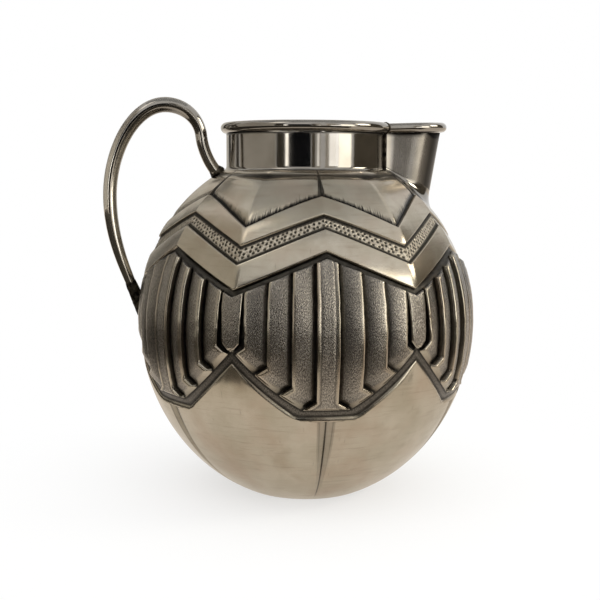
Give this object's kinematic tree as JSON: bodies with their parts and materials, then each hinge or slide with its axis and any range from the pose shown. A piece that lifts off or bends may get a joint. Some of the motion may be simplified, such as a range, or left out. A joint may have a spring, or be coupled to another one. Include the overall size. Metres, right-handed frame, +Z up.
{
  "type": "silver pitcher",
  "caption": "Ball-shaped silver water pitcher with a plain neck, U-shaped spout and rod handle, its body chased with zigzag bands and a belt of pleated flutes.",
  "frame": {"origin": "middle of the flat base, on the axis of the body", "axes": "+Z up along the body's axis, +X towards the spout, -X towards the handle"},
  "size_m": [0.1813, 0.1656, 0.1909],
  "materials": {
    "chased_silver": "polished silver, with matted and dark oxidised chased ground",
    "polished_silver": "hand-polished silver with fine wear scratches",
    "silver_solder": "dull, slightly tarnished silver solder"
  },
  "bodies": {
    "root": {"body_shell": "chased_silver", "neck_collar": "polished_silver", "neck_rim_bead": "polished_silver", "spout_wall": "polished_silver", "spout_rim_bead": "polished_silver", "handle_rod": "polished_silver", "neck_solder_seam": "silver_solder", "spout_shoulder_solder_seam": "silver_solder", "spout_neck_solder_front": "silver_solder", "spout_neck_solder_rear": "silver_solder", "handle_upper_solder": "silver_solder", "handle_lower_solder": "silver_solder"}
  },
  "joints": []
}
